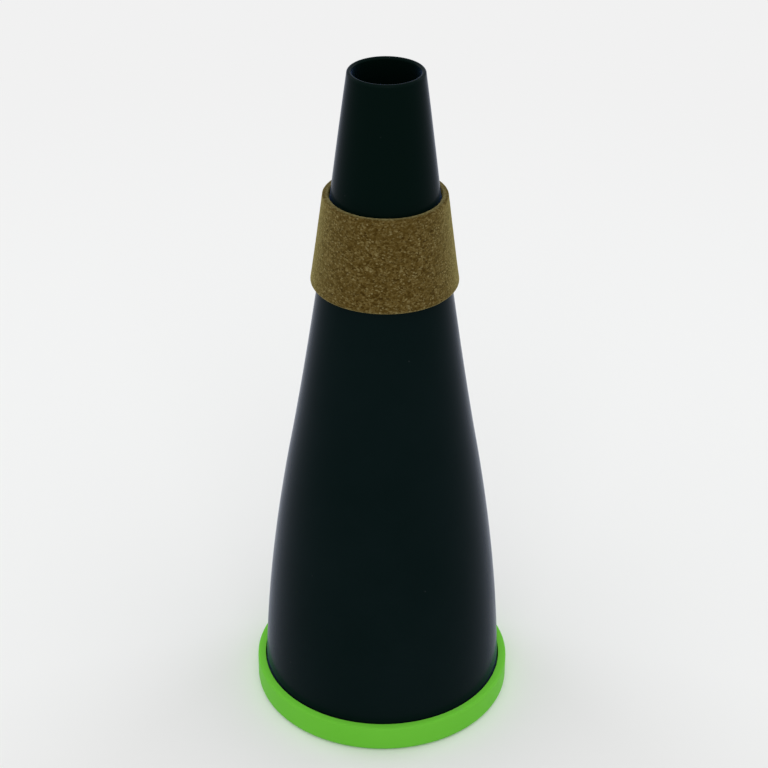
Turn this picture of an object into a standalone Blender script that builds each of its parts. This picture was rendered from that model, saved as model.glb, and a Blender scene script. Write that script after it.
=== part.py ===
"""Practice mute for a brass instrument.

A long moulded cone carries a cork sleeve that seals it in the instrument's bell. A cap closes
its wide end. The cap also carries the silencer that stands inside the cone: a small vent tube,
which lets the player's breath out, and a stack of holed baffles and foam rings around it.
The cone lifts off the cap to be dried.

Sizes are in metres and angles in degrees. Z points up the mute's axis, and the origin is the
middle of the plane that the cap stands on.
"""

import math

import bmesh
import bpy
from mathutils import Matrix

# Fits
FIT = 0.0003
BAFFLE_PLAY = 0.0004
FOAM_PLAY = 0.0025

# Cone: outside radius and taper at four stations, from the cap's rim to the lip
CONE_LENGTH = 0.185
BASE_RADIUS = 0.0345
BASE_TAPER = 2.1
FLANK_BELOW_CORK = 0.0512
FLANK_RADIUS = 0.02616
FLANK_TAPER = 10.3
NECK_RADIUS = 0.018
NECK_TAPER = 8.3
LIP_RADIUS = 0.01015
LIP_TAPER = 7.8
FOOT_WALL = 0.0018
LIP_WALL = 0.0013
FOOT_CHAMFER = 0.0003

# Cork sleeve
CORK_BELOW_LIP = 0.0343
CORK_LENGTH = 0.0255
CORK_THICKNESS = 0.0018
CORK_EDGE_ROUND = 0.0004

# Base cap
CAP_HEIGHT = 0.008
CAP_WALL = 0.0023
CAP_FLOOR = 0.002
CAP_RECESS = 0.001
CAP_LOWER_ROUND = 0.0014
CAP_RIM_ROUND = 0.0005
REST_RING_WIDTH = 0.005
SPIGOT_HEIGHT = 0.010
SPIGOT_WALL = 0.0014
SPIGOT_CHAMFER = 0.0004
SEAL_PROUD = 0.0003
SEAL_SECTION = 0.0016

# Vent
VENT_BORE_RADIUS = 0.002
VENT_WALL = 0.001
VENT_LENGTH = 0.0785
VENT_RECESS = 0.0005
BUSH_WALL = 0.001
BUSH_FLANGE = 0.0012
BOSS_WALL = 0.002

# Silencer stack
BAFFLE_THICKNESS = 0.002
LOWER_BAFFLE_HOLES = 8
UPPER_BAFFLE_HOLES = 6
BAFFLE_HOLE_RADIUS = 0.003
SPACER_WALL = 0.0012
SPACER_LENGTH = 0.044
MIDDLE_FOAM_HEIGHT = 0.020
UPPER_FOAM_HEIGHT = 0.012
COLLAR_WALL = 0.0022
COLLAR_HEIGHT = 0.005

# Smoothness
ROUND_SEGMENTS = 64
TUBE_SEGMENTS = 24
HOLE_SEGMENTS = 12
FLARE_STEPS = 7
NECK_STEPS = 3
INSIDE_STEPS = 2
ROUND_STEPS = 4
SMOOTH_ANGLE = 35.0

# Heights along the axis
FLOOR_TOP = CAP_RECESS + CAP_FLOOR
CONE_FOOT = FLOOR_TOP + FIT
CONE_TOP = CAP_HEIGHT + CONE_LENGTH
CORK_TOP = CONE_TOP - CORK_BELOW_LIP
CORK_BOTTOM = CORK_TOP - CORK_LENGTH
FLANK_HEIGHT = CORK_BOTTOM - FLANK_BELOW_CORK
SPIGOT_TOP = FLOOR_TOP + SPIGOT_HEIGHT
BOSS_TOP = SPIGOT_TOP - BUSH_FLANGE - FIT
LOWER_BAFFLE_FOOT = SPIGOT_TOP + FIT
LOWER_BAFFLE_TOP = LOWER_BAFFLE_FOOT + BAFFLE_THICKNESS
SPACER_FOOT = LOWER_BAFFLE_TOP + FIT
SPACER_TOP = SPACER_FOOT + SPACER_LENGTH
UPPER_BAFFLE_FOOT = SPACER_TOP + FIT
UPPER_BAFFLE_TOP = UPPER_BAFFLE_FOOT + BAFFLE_THICKNESS
COLLAR_FOOT = UPPER_BAFFLE_TOP + FIT

# Radii around the vent
VENT_RADIUS = VENT_BORE_RADIUS + VENT_WALL
VENT_HOLE = VENT_RADIUS + FIT
BUSH_RADIUS = VENT_HOLE + BUSH_WALL
BOSS_BORE = BUSH_RADIUS + FIT
BOSS_RADIUS = BOSS_BORE + BOSS_WALL
SPACER_RADIUS = VENT_HOLE + SPACER_WALL
COLLAR_RADIUS = VENT_HOLE + COLLAR_WALL


def curve_between(low, high, height):
    """Radius at a height between two stations, on the cubic that keeps both radii and tapers."""
    low_height, low_radius, low_taper = low
    high_height, high_radius, high_taper = high
    span = high_height - low_height
    share = (height - low_height) / span
    low_slope = -math.tan(math.radians(low_taper)) * span
    high_slope = -math.tan(math.radians(high_taper)) * span
    square = share ** 2
    cube = share ** 3
    return ((2 * cube - 3 * square + 1) * low_radius + (cube - 2 * square + share) * low_slope
            + (3 * square - 2 * cube) * high_radius + (cube - square) * high_slope)


def cone_radius(height):
    """Outside radius of the cone at a height. Below the cap's rim its foot is straight."""
    base = (CAP_HEIGHT, BASE_RADIUS, BASE_TAPER)
    flank = (FLANK_HEIGHT, FLANK_RADIUS, FLANK_TAPER)
    neck = (CORK_BOTTOM, NECK_RADIUS, NECK_TAPER)
    lip = (CONE_TOP, LIP_RADIUS, LIP_TAPER)
    if height <= CAP_HEIGHT:
        return BASE_RADIUS
    if height <= FLANK_HEIGHT:
        return curve_between(base, flank, height)
    if height <= CORK_BOTTOM:
        return curve_between(flank, neck, height)
    return curve_between(neck, lip, height)


def cone_inner_radius(height):
    """Inside radius of the cone: its wall thins evenly from the foot to the lip."""
    share = (height - CONE_FOOT) / (CONE_TOP - CONE_FOOT)
    return cone_radius(height) - FOOT_WALL - (LIP_WALL - FOOT_WALL) * share


def between(low, high, steps):
    """Evenly spaced values from low to high, both ends included."""
    return [low + (high - low) * step / steps for step in range(steps + 1)]


def arc(centre_radius, centre_height, size, start, end):
    """Points of a round edge, from the angle start to the angle end."""
    angles = [math.radians(angle) for angle in between(start, end, ROUND_STEPS)]
    return [(centre_radius + size * math.cos(angle), centre_height + size * math.sin(angle))
            for angle in angles]


def ring(inner, outer, low, high):
    """Outline of a plain ring with a square section."""
    return [(outer, low), (outer, high), (inner, high), (inner, low)]


def make_material(name, colour, roughness):
    """A plain coloured finish."""
    material = bpy.data.materials.new(name)
    material.use_nodes = True
    shader = material.node_tree.nodes["Principled BSDF"]
    shader.inputs["Base Color"].default_value = (*colour, 1.0)
    shader.inputs["Roughness"].default_value = roughness
    shader.inputs["Metallic"].default_value = 0.0
    return material


def add_object(name, shape, material, parent):
    """Put a finished bmesh into the scene as a smooth-shaded object."""
    bmesh.ops.recalc_face_normals(shape, faces=shape.faces)
    mesh = bpy.data.meshes.new(name)
    shape.to_mesh(mesh)
    shape.free()
    mesh.shade_smooth()
    mesh.set_sharp_from_angle(angle=math.radians(SMOOTH_ANGLE))
    if material:
        mesh.materials.append(material)
    piece = bpy.data.objects.new(name, mesh)
    piece.parent = parent
    bpy.context.scene.collection.objects.link(piece)
    return piece


def turned(name, outline, segments, material, parent):
    """Spin a closed outline of (radius, height) points round the Z axis."""
    shape = bmesh.new()
    corners = [shape.verts.new((radius, 0.0, height)) for radius, height in outline]
    edges = [shape.edges.new((corner, corners[index - 1])) for index, corner in enumerate(corners)]
    bmesh.ops.spin(shape, geom=corners + edges, cent=(0, 0, 0), axis=(0, 0, 1),
                   angle=2 * math.pi, steps=segments, use_merge=True)
    return add_object(name, shape, material, parent)


def cone_heights(top, flare_steps, neck_steps):
    """Heights at which the cone is drawn, closer together on its flare than on its neck."""
    heights = between(CAP_HEIGHT, FLANK_HEIGHT, flare_steps)
    heights += between(FLANK_HEIGHT, CORK_BOTTOM, neck_steps)[1:]
    return heights + between(CORK_BOTTOM, top, neck_steps)[1:]


def make_cone(material, parent):
    """The moulded cone, open at both ends, with a fully rounded lip."""
    lip_round = LIP_WALL / 2
    side_top = CONE_TOP - lip_round
    outside = cone_heights(side_top, FLARE_STEPS, NECK_STEPS)
    inside = cone_heights(side_top, INSIDE_STEPS * 2, INSIDE_STEPS)
    outline = [(BASE_RADIUS - FOOT_CHAMFER, CONE_FOOT), (BASE_RADIUS, CONE_FOOT + FOOT_CHAMFER)]
    outline += [(cone_radius(height), height) for height in outside]
    lip = arc(cone_radius(side_top) - lip_round, side_top, lip_round, 0, 180)
    outline += lip[1:-1]
    outline += [(cone_inner_radius(height), height) for height in reversed(inside)]
    outline.append((cone_inner_radius(CONE_FOOT), CONE_FOOT))
    turned("body_shell", outline, ROUND_SEGMENTS, material, parent)


def make_cork(material, parent):
    """The cork sleeve, of even thickness, whose inside follows the cone."""
    def outer(height):
        return cone_radius(height) + FIT + CORK_THICKNESS

    edge = min(CORK_EDGE_ROUND, CORK_THICKNESS / 3)
    outline = arc(outer(CORK_BOTTOM + edge) - edge, CORK_BOTTOM + edge, edge, -90, 0)
    heights = between(CORK_BOTTOM + edge, CORK_TOP - edge, NECK_STEPS)
    outline += [(outer(height), height) for height in heights[1:-1]]
    outline += arc(outer(CORK_TOP - edge) - edge, CORK_TOP - edge, edge, 0, 90)
    heights = between(CORK_TOP, CORK_BOTTOM, NECK_STEPS)
    outline += [(cone_radius(height) + FIT, height) for height in heights]
    turned("cork_sleeve", outline, ROUND_SEGMENTS, material, parent)


class CapPlan:
    """Radii and heights that the cap shares with its seal and its foam."""

    def __init__(self):
        self.socket = BASE_RADIUS + FIT
        self.outside = self.socket + CAP_WALL
        self.seal_height = FLOOR_TOP + SPIGOT_HEIGHT / 2
        self.spigot = cone_inner_radius(SPIGOT_TOP) - FIT - SEAL_PROUD
        self.seal_outside = self.spigot + SEAL_PROUD
        self.groove = self.seal_outside - SEAL_SECTION - FIT
        self.groove_low = self.seal_height - SEAL_SECTION / 2 - FIT
        self.groove_high = self.seal_height + SEAL_SECTION / 2 + FIT
        self.cup = self.groove - SPIGOT_WALL


def make_cap(cap, material, parent):
    """The base cap: a rim round the cone's foot, a grooved spigot inside it and a vent boss."""
    ring_inside = cap.outside - CAP_LOWER_ROUND - REST_RING_WIDTH
    outline = arc(cap.outside - CAP_LOWER_ROUND, CAP_LOWER_ROUND, CAP_LOWER_ROUND, -90, 0)
    outline += arc(cap.outside - CAP_RIM_ROUND, CAP_HEIGHT - CAP_RIM_ROUND, CAP_RIM_ROUND, 0, 90)
    outline += [(cap.socket, CAP_HEIGHT), (cap.socket, FLOOR_TOP), (cap.spigot, FLOOR_TOP)]
    outline += [(cap.spigot, cap.groove_low), (cap.groove, cap.groove_low)]
    outline += [(cap.groove, cap.groove_high), (cap.spigot, cap.groove_high)]
    outline += [(cap.spigot, SPIGOT_TOP - SPIGOT_CHAMFER), (cap.spigot - SPIGOT_CHAMFER, SPIGOT_TOP)]
    outline += [(cap.cup, SPIGOT_TOP), (cap.cup, FLOOR_TOP), (BOSS_RADIUS, FLOOR_TOP)]
    outline += [(BOSS_RADIUS, BOSS_TOP), (BOSS_BORE, BOSS_TOP), (BOSS_BORE, FLOOR_TOP)]
    outline += [(VENT_HOLE, FLOOR_TOP), (VENT_HOLE, CAP_RECESS)]
    outline += [(ring_inside, CAP_RECESS), (ring_inside, 0.0)]
    turned("base_cap", outline, ROUND_SEGMENTS, material, parent)


def make_seal(cap, material, parent):
    """The round-section rubber ring in the spigot's groove."""
    size = SEAL_SECTION / 2
    outline = arc(cap.seal_outside - size, cap.seal_height, size, 0, 180)
    outline += arc(cap.seal_outside - size, cap.seal_height, size, 180, 360)[1:-1]
    turned("cap_seal", outline, ROUND_SEGMENTS, material, parent)


def make_vent(materials, parent):
    """The vent tube, and the flanged rubber bush that grips it in the cap's boss."""
    foot = CAP_RECESS + VENT_RECESS
    outline = ring(VENT_BORE_RADIUS, VENT_RADIUS, foot, foot + VENT_LENGTH)
    turned("vent_tube", outline, TUBE_SEGMENTS, materials["tube"], parent)
    flange_foot = BOSS_TOP + FIT
    flange_top = flange_foot + BUSH_FLANGE
    outline = [(BUSH_RADIUS, FLOOR_TOP + FIT), (BUSH_RADIUS, flange_foot), (BOSS_RADIUS, flange_foot)]
    outline += [(BOSS_RADIUS, flange_top), (VENT_HOLE, flange_top), (VENT_HOLE, FLOOR_TOP + FIT)]
    turned("vent_bush", outline, TUBE_SEGMENTS, materials["rubber"], parent)


def make_baffle(name, foot, holes, material, parent):
    """A disc on the vent tube, with a ring of holes midway between the spacer and its rim."""
    top = foot + BAFFLE_THICKNESS
    rim = cone_inner_radius(top) - BAFFLE_PLAY
    baffle = turned(name, ring(VENT_HOLE, rim, foot, top), ROUND_SEGMENTS, material, parent)
    pitch = (SPACER_RADIUS + rim) / 2
    drills = bmesh.new()
    for index in range(holes):
        place = Matrix.Rotation(2 * math.pi * index / holes, 4, "Z")
        place = place @ Matrix.Translation((pitch, 0.0, (foot + top) / 2))
        bmesh.ops.create_cone(drills, cap_ends=True, segments=HOLE_SEGMENTS, matrix=place,
                              radius1=BAFFLE_HOLE_RADIUS, radius2=BAFFLE_HOLE_RADIUS,
                              depth=2 * BAFFLE_THICKNESS)
    cutter = add_object(name + "_drills", drills, None, parent)
    cutter.hide_render = True
    cutter.display_type = "WIRE"
    cut = baffle.modifiers.new("holes", "BOOLEAN")
    cut.operation = "DIFFERENCE"
    cut.solver = "EXACT"
    cut.object = cutter


def make_foams(cap, material, parent):
    """Three foam rings: in the cap's cup, on the lower baffle and on the upper baffle."""
    outline = ring(BOSS_RADIUS + FIT, cap.cup - FIT, FLOOR_TOP + FIT, SPIGOT_TOP)
    turned("cap_foam", outline, ROUND_SEGMENTS, material, parent)
    top = SPACER_FOOT + MIDDLE_FOAM_HEIGHT
    rim = cone_inner_radius(top) - FOAM_PLAY
    outline = ring(SPACER_RADIUS + FIT, rim, SPACER_FOOT, top)
    turned("middle_foam", outline, ROUND_SEGMENTS, material, parent)
    top = COLLAR_FOOT + UPPER_FOAM_HEIGHT
    rim = cone_inner_radius(top) - FOAM_PLAY
    outline = ring(COLLAR_RADIUS + FIT, rim, COLLAR_FOOT, top)
    turned("upper_foam", outline, ROUND_SEGMENTS, material, parent)


def make_silencer(cap, materials, parent):
    """The stack on the vent tube: baffle, spacer, baffle and the collar that holds them down."""
    plastic = materials["inner"]
    make_baffle("lower_baffle", LOWER_BAFFLE_FOOT, LOWER_BAFFLE_HOLES, plastic, parent)
    outline = ring(VENT_HOLE, SPACER_RADIUS, SPACER_FOOT, SPACER_TOP)
    turned("spacer_tube", outline, TUBE_SEGMENTS, plastic, parent)
    make_baffle("upper_baffle", UPPER_BAFFLE_FOOT, UPPER_BAFFLE_HOLES, plastic, parent)
    outline = ring(VENT_HOLE, COLLAR_RADIUS, COLLAR_FOOT, COLLAR_FOOT + COLLAR_HEIGHT)
    turned("retaining_collar", outline, TUBE_SEGMENTS, materials["rubber"], parent)
    make_foams(cap, materials["foam"], parent)


def make_axis(name):
    """An empty on the mute's axis that a group of pieces moves with."""
    axis = bpy.data.objects.new(name, None)
    bpy.context.scene.collection.objects.link(axis)
    return axis


def main():
    """Build the mute in an empty scene."""
    for old in list(bpy.data.objects):
        bpy.data.objects.remove(old, do_unlink=True)
    materials = {
        "body": make_material("black_plastic", (0.008, 0.009, 0.011), 0.35),
        "cork": make_material("cork", (0.19, 0.105, 0.034), 0.9),
        "cap": make_material("green_plastic", (0.125, 0.445, 0.033), 0.5),
        "rubber": make_material("black_rubber", (0.012, 0.012, 0.013), 0.8),
        "tube": make_material("natural_plastic", (0.62, 0.60, 0.54), 0.45),
        "inner": make_material("inner_plastic", (0.02, 0.021, 0.023), 0.5),
        "foam": make_material("grey_foam", (0.075, 0.077, 0.08), 0.95),
    }
    lifting = make_axis("lifting_group")
    make_cone(materials["body"], lifting)
    make_cork(materials["cork"], lifting)
    standing = make_axis("standing_group")
    cap = CapPlan()
    make_cap(cap, materials["cap"], standing)
    make_seal(cap, materials["rubber"], standing)
    make_vent(materials, standing)
    make_silencer(cap, materials, standing)


main()
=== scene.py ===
"""Looks of a practice mute for a brass instrument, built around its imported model.

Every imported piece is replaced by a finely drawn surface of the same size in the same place. A
round piece is a closed outline of (radius, height) rows carried round the Z axis, and a holed
disc is a grid around each of its holes. Cork and foam get a real relief as well. The finishes
are worked out from object coordinates.

Sizes are in metres, and angles are in degrees unless a docstring says radians. Z points up the
mute's axis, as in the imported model.
"""

import itertools
import logging
import math
from dataclasses import dataclass
from enum import Enum
from typing import Any, Callable, Sequence

import bmesh
import bpy
import numpy as np
from mathutils import Matrix, Vector


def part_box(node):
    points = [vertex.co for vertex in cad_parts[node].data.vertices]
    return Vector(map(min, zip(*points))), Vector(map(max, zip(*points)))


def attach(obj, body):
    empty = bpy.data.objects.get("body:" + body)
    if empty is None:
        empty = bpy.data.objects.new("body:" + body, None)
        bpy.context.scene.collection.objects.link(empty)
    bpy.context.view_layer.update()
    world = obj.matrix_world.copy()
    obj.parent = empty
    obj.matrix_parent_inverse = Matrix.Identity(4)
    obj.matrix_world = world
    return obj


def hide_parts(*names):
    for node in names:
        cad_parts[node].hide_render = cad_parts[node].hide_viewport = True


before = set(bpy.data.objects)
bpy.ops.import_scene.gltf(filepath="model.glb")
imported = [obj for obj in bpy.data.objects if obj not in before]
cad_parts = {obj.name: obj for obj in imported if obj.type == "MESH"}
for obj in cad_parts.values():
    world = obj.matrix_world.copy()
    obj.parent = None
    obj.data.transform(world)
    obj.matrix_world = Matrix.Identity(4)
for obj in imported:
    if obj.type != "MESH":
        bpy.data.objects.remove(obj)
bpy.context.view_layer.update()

# The gap between pieces that touch in the real mute
CLEARANCE = 0.0003

# Steps round a wide and a narrow piece
WIDE_TURN = 256
NARROW_TURN = 96

# The lowest and the highest value of a share
UNIT = (0.0, 1.0)

REPORT = logging.getLogger("mute")

Array = np.ndarray
Pair = tuple[float, float]
Colour = tuple[float, float, float]
Place = tuple[float, float, float]
Corner = tuple[float, float, float]
Socket = bpy.types.NodeSocket
Material = bpy.types.Material


class Body(Enum):
    """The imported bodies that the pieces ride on."""

    BASE = "base"
    CONE = "cone"


class Slot(Enum):
    """The record's material slots."""

    BLACK_PLASTIC = "black_plastic"
    CORK = "cork"
    GREEN_PLASTIC = "green_plastic"
    BLACK_RUBBER = "black_rubber"
    NATURAL_PLASTIC = "natural_plastic"
    INNER_PLASTIC = "inner_plastic"
    GREY_FOAM = "grey_foam"


class Effect(Enum):
    """The shader node groups that several finishes share."""

    GRAIN = "moulded_grain"
    HANDLING = "handling"
    WEAR = "edge_wear"


Finishes = dict[Slot, Material]


def evenly(low: float, high: float, step: float) -> Array:
    """Evenly spaced values from low to high, both ends included, about a step apart."""
    return np.linspace(low, high, max(1, round(abs(high - low) / step)) + 1)


def whole_turn(steps: int) -> Array:
    """The angles of a whole turn in even steps, in radians."""
    return np.linspace(0, 2 * math.pi, steps, endpoint=False)


def rows(radii: Array | float, heights: Array | float) -> Array:
    """Rows of (radius, height), where one of the two may be a single value."""
    return np.stack(np.broadcast_arrays(radii, heights), axis=1)


def unit(vectors: Array) -> Array:
    """Rows of vectors over their lengths."""
    return vectors / np.linalg.norm(vectors, axis=1, keepdims=True)


def bearing(vectors: Array) -> Array:
    """Directions of rows of vectors, as a column of radians from the outward direction."""
    return np.arctan2(vectors[:, 1:], vectors[:, :1])


def arc(centre: Pair, size: float, start: float, end: float, chords: int) -> Array:
    """Points of a round edge: the centre plus size times the cosine and sine of each angle.

    Args:
        centre: Radius and height of the arc's centre.
        size: Radius of the arc.
        start: Angle of the first point, from the outward direction towards +Z.
        end: Angle of the last point.
        chords: Number of chords.

    Returns:
        Rows of (radius, height).
    """
    angles = np.radians(np.linspace(start, end, chords + 1))
    return np.array(centre) + size * rows(np.cos(angles), np.sin(angles))


def rounded(corners: Sequence[Corner], step: float, chords: int = 6) -> Array:
    """A closed outline whose corners are round and whose straight runs are split evenly.

    An arc that touches both sides of a corner has its centre on the line that halves the
    corner's angle, at its radius over the sine of the half angle from the corner, and it
    leaves the sides at its radius over the tangent of the half angle.

    Args:
        corners: Radius, height and size of the round edge of each corner, in order.
        step: About how long the steps along a straight run are.
        chords: Chords in each round edge.

    Returns:
        Rows of (radius, height), in the order of the corners.
    """
    spots, sizes = np.split(np.array(corners), [2], axis=1)
    back = unit(np.roll(spots, 1, axis=0) - spots)
    ahead = unit(np.roll(spots, -1, axis=0) - spots)
    half = np.arccos(np.sum(back * ahead, axis=1, keepdims=True)) / 2
    centres = spots + unit(back + ahead) * sizes / np.sin(half)
    start = bearing(spots + back * sizes / np.tan(half) - centres)
    end = bearing(spots + ahead * sizes / np.tan(half) - centres)
    turn = (end - start + math.pi) % (2 * math.pi) - math.pi
    angles = start + turn * np.linspace(0, 1, chords + 1)
    arcs = centres[:, None] + sizes[:, :, None] * np.stack([np.cos(angles), np.sin(angles)], axis=2)
    runs = []
    for here, there in zip(arcs, np.roll(arcs, -1, axis=0)):
        shares = evenly(0, 1, step / max(step, np.linalg.norm(there[0] - here[-1])))[1:-1]
        runs += [here, here[-1] + shares[:, None] * (there[0] - here[-1])]
    return np.concatenate(runs)


def outward_normals(outline: Array) -> Array:
    """Normals of a closed outline that runs up its outer side: each tangent turned outwards."""
    tangents = np.roll(outline, -1, axis=0) - np.roll(outline, 1, axis=0)
    return unit(rows(tangents[:, 1], -tangents[:, 0]))


def carried_round(outline: Array, turns: Array) -> Array:
    """Carry (radius, height) rows round the Z axis: x and y are r cos a and r sin a.

    Args:
        outline: Rows of (radius, height), either places or directions.
        turns: Angles round the axis, in radians.

    Returns:
        A grid of (angle, row, xyz).
    """
    x = np.cos(turns)[:, None] * outline[:, 0]
    y = np.sin(turns)[:, None] * outline[:, 0]
    return np.stack([x, y, np.broadcast_to(outline[:, 1], x.shape)], axis=2)


def chance(cells: Array, seed: int) -> Array:
    """An even random number from 0 to 1 for each whole-numbered cell, the same on each run.

    The cell's three numbers and the seed, each times a large factor, are joined by exclusive
    or, and mixed by two rounds of a shift and a product.

    Args:
        cells: Whole numbers, three to a cell.
        seed: Number that sets one pattern apart from another.

    Returns:
        One number for each cell.
    """
    factors = np.array([73856093, 19349663, 83492791], dtype=np.uint64)
    whole = cells.astype(np.int64).astype(np.uint64)
    mixed = np.bitwise_xor.reduce(whole * factors, axis=-1) ^ np.uint64(seed * 2654435761)
    for shift, factor in ((15, 2246822519), (13, 3266489917)):
        mixed = (mixed ^ (mixed >> np.uint64(shift))) * np.uint64(factor) & np.uint64(0xFFFFFFFF)
    return mixed / 2.0 ** 32


def cell_distance(points: Array, size: float, seed: int) -> Array:
    """Distance from each point to the nearest of the spots strewn one to a cubic cell.

    Args:
        points: Places, xyz last.
        size: Side of a cell.
        seed: Number of the pattern.

    Returns:
        Distances in cell sides.
    """
    scaled = points / size
    home = np.floor(scaled)
    nearest = np.full(scaled.shape[:-1], np.inf)
    for step in itertools.product((-1, 0, 1), repeat=3):
        cell = home + np.array(step)
        spot = cell + np.stack([chance(cell, seed + axis) for axis in range(3)], axis=-1)
        nearest = np.minimum(nearest, np.linalg.norm(spot - scaled, axis=-1))
    return nearest


def soft_noise(points: Array, size: float, seed: int) -> Array:
    """Smooth noise from 0 to 1: cell corners' random numbers, eased into each other.

    At s of the way across a cell, the far corners weigh 3s^2 - 2s^3 and the near ones the rest.

    Args:
        points: Places, xyz last.
        size: Side of a cell.
        seed: Number of the pattern.

    Returns:
        One number for each point.
    """
    scaled = points / size
    home = np.floor(scaled)
    share = scaled - home
    eased = share * share * (3 - 2 * share)
    total = np.zeros(scaled.shape[:-1])
    for step in itertools.product((0, 1), repeat=3):
        weight = np.prod(np.where(np.array(step) == 1, eased, 1 - eased), axis=-1)
        total += weight * chance(home + np.array(step), seed)
    return total


@dataclass(frozen=True)
class Grid:
    """A grid of points, and whether its last row joins its first and each row its own start."""

    points: Array
    rows_close: bool
    columns_close: bool

    def faces(self) -> Array:
        """Squares between neighbouring rows and columns.

        Returns:
            Rows of four point numbers.
        """
        numbers = np.arange(self.points[..., 0].size).reshape(self.points.shape[:2])
        if self.rows_close:
            numbers = np.concatenate([numbers, numbers[:1]])
        if self.columns_close:
            numbers = np.concatenate([numbers, numbers[:, :1]], axis=1)
        squares = [numbers[:-1, :-1], numbers[1:, :-1], numbers[1:, 1:], numbers[:-1, 1:]]
        return np.stack(squares, axis=2).reshape(-1, 4)


def new_object(name: str, grids: Sequence[Grid]) -> bpy.types.Object:
    """Put grids into a smooth-shaded object at the origin.

    Args:
        name: Name of the object.
        grids: Its surfaces.

    Returns:
        The object, linked to the scene.
    """
    points = np.concatenate([grid.points.reshape(-1, 3) for grid in grids])
    firsts = np.cumsum([0] + [grid.points[..., 0].size for grid in grids])
    faces = np.concatenate([grid.faces() + first for grid, first in zip(grids, firsts)])
    mesh = bpy.data.meshes.new(name)
    mesh.vertices.add(len(points))
    mesh.vertices.foreach_set("co", points.astype(np.float32).ravel())
    mesh.loops.add(faces.size)
    mesh.loops.foreach_set("vertex_index", faces.astype(np.int32).ravel())
    mesh.polygons.add(len(faces))
    mesh.polygons.foreach_set("loop_start", np.arange(0, faces.size, 4, dtype=np.int32))
    mesh.update(calc_edges=True)
    mesh.validate()
    mesh.shade_smooth()
    piece = bpy.data.objects.new(name, mesh)
    bpy.context.scene.collection.objects.link(piece)
    return piece


def turned_piece(name: str, outline: Array, steps: int,
                 relief: Callable[[Array], Array] | None = None) -> bpy.types.Object:
    """A round piece from its closed outline, with a relief along its normals if one is given.

    Args:
        name: Name of the object.
        outline: Rows of (radius, height) that run up the outer side.
        steps: Steps in the whole turn.
        relief: Takes the grid of points and gives how far each one moves outwards.

    Returns:
        The finished object.
    """
    turns = whole_turn(steps)
    points = carried_round(outline, turns)
    if relief:
        outwards = carried_round(outward_normals(outline), turns)
        points = points + outwards * relief(points)[..., None]
    return new_object(name, [Grid(points, True, True)])


def weld(piece: bpy.types.Object, distance: float) -> None:
    """Merge a piece's doubled points, and turn its faces outwards.

    Args:
        piece: The object.
        distance: Points that are nearer to each other than this become one.
    """
    shape = bmesh.new()
    shape.from_mesh(piece.data)
    bmesh.ops.remove_doubles(shape, verts=shape.verts, dist=distance)
    bmesh.ops.recalc_face_normals(shape, faces=shape.faces)
    shape.to_mesh(piece.data)
    shape.free()
    piece.data.shade_smooth()


def settle(piece: bpy.types.Object, node: str, slot: Slot, body: Body,
           finishes: Finishes) -> None:
    """Dress a finished piece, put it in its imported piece's place and report it.

    Args:
        piece: The finished object.
        node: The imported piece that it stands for.
        slot: The record's slot of its finish.
        body: The body that it rides on.
        finishes: The material of each slot.
    """
    piece.data.materials.append(finishes[slot])
    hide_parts(node)
    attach(piece, body.value)
    width, height = piece.dimensions.x * 1000, piece.dimensions.z * 1000
    REPORT.info("%s: %d faces, %.1f mm wide, %.1f mm high, %s, on %s",
                piece.name, len(piece.data.polygons), width, height, slot.value, body.value)


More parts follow.
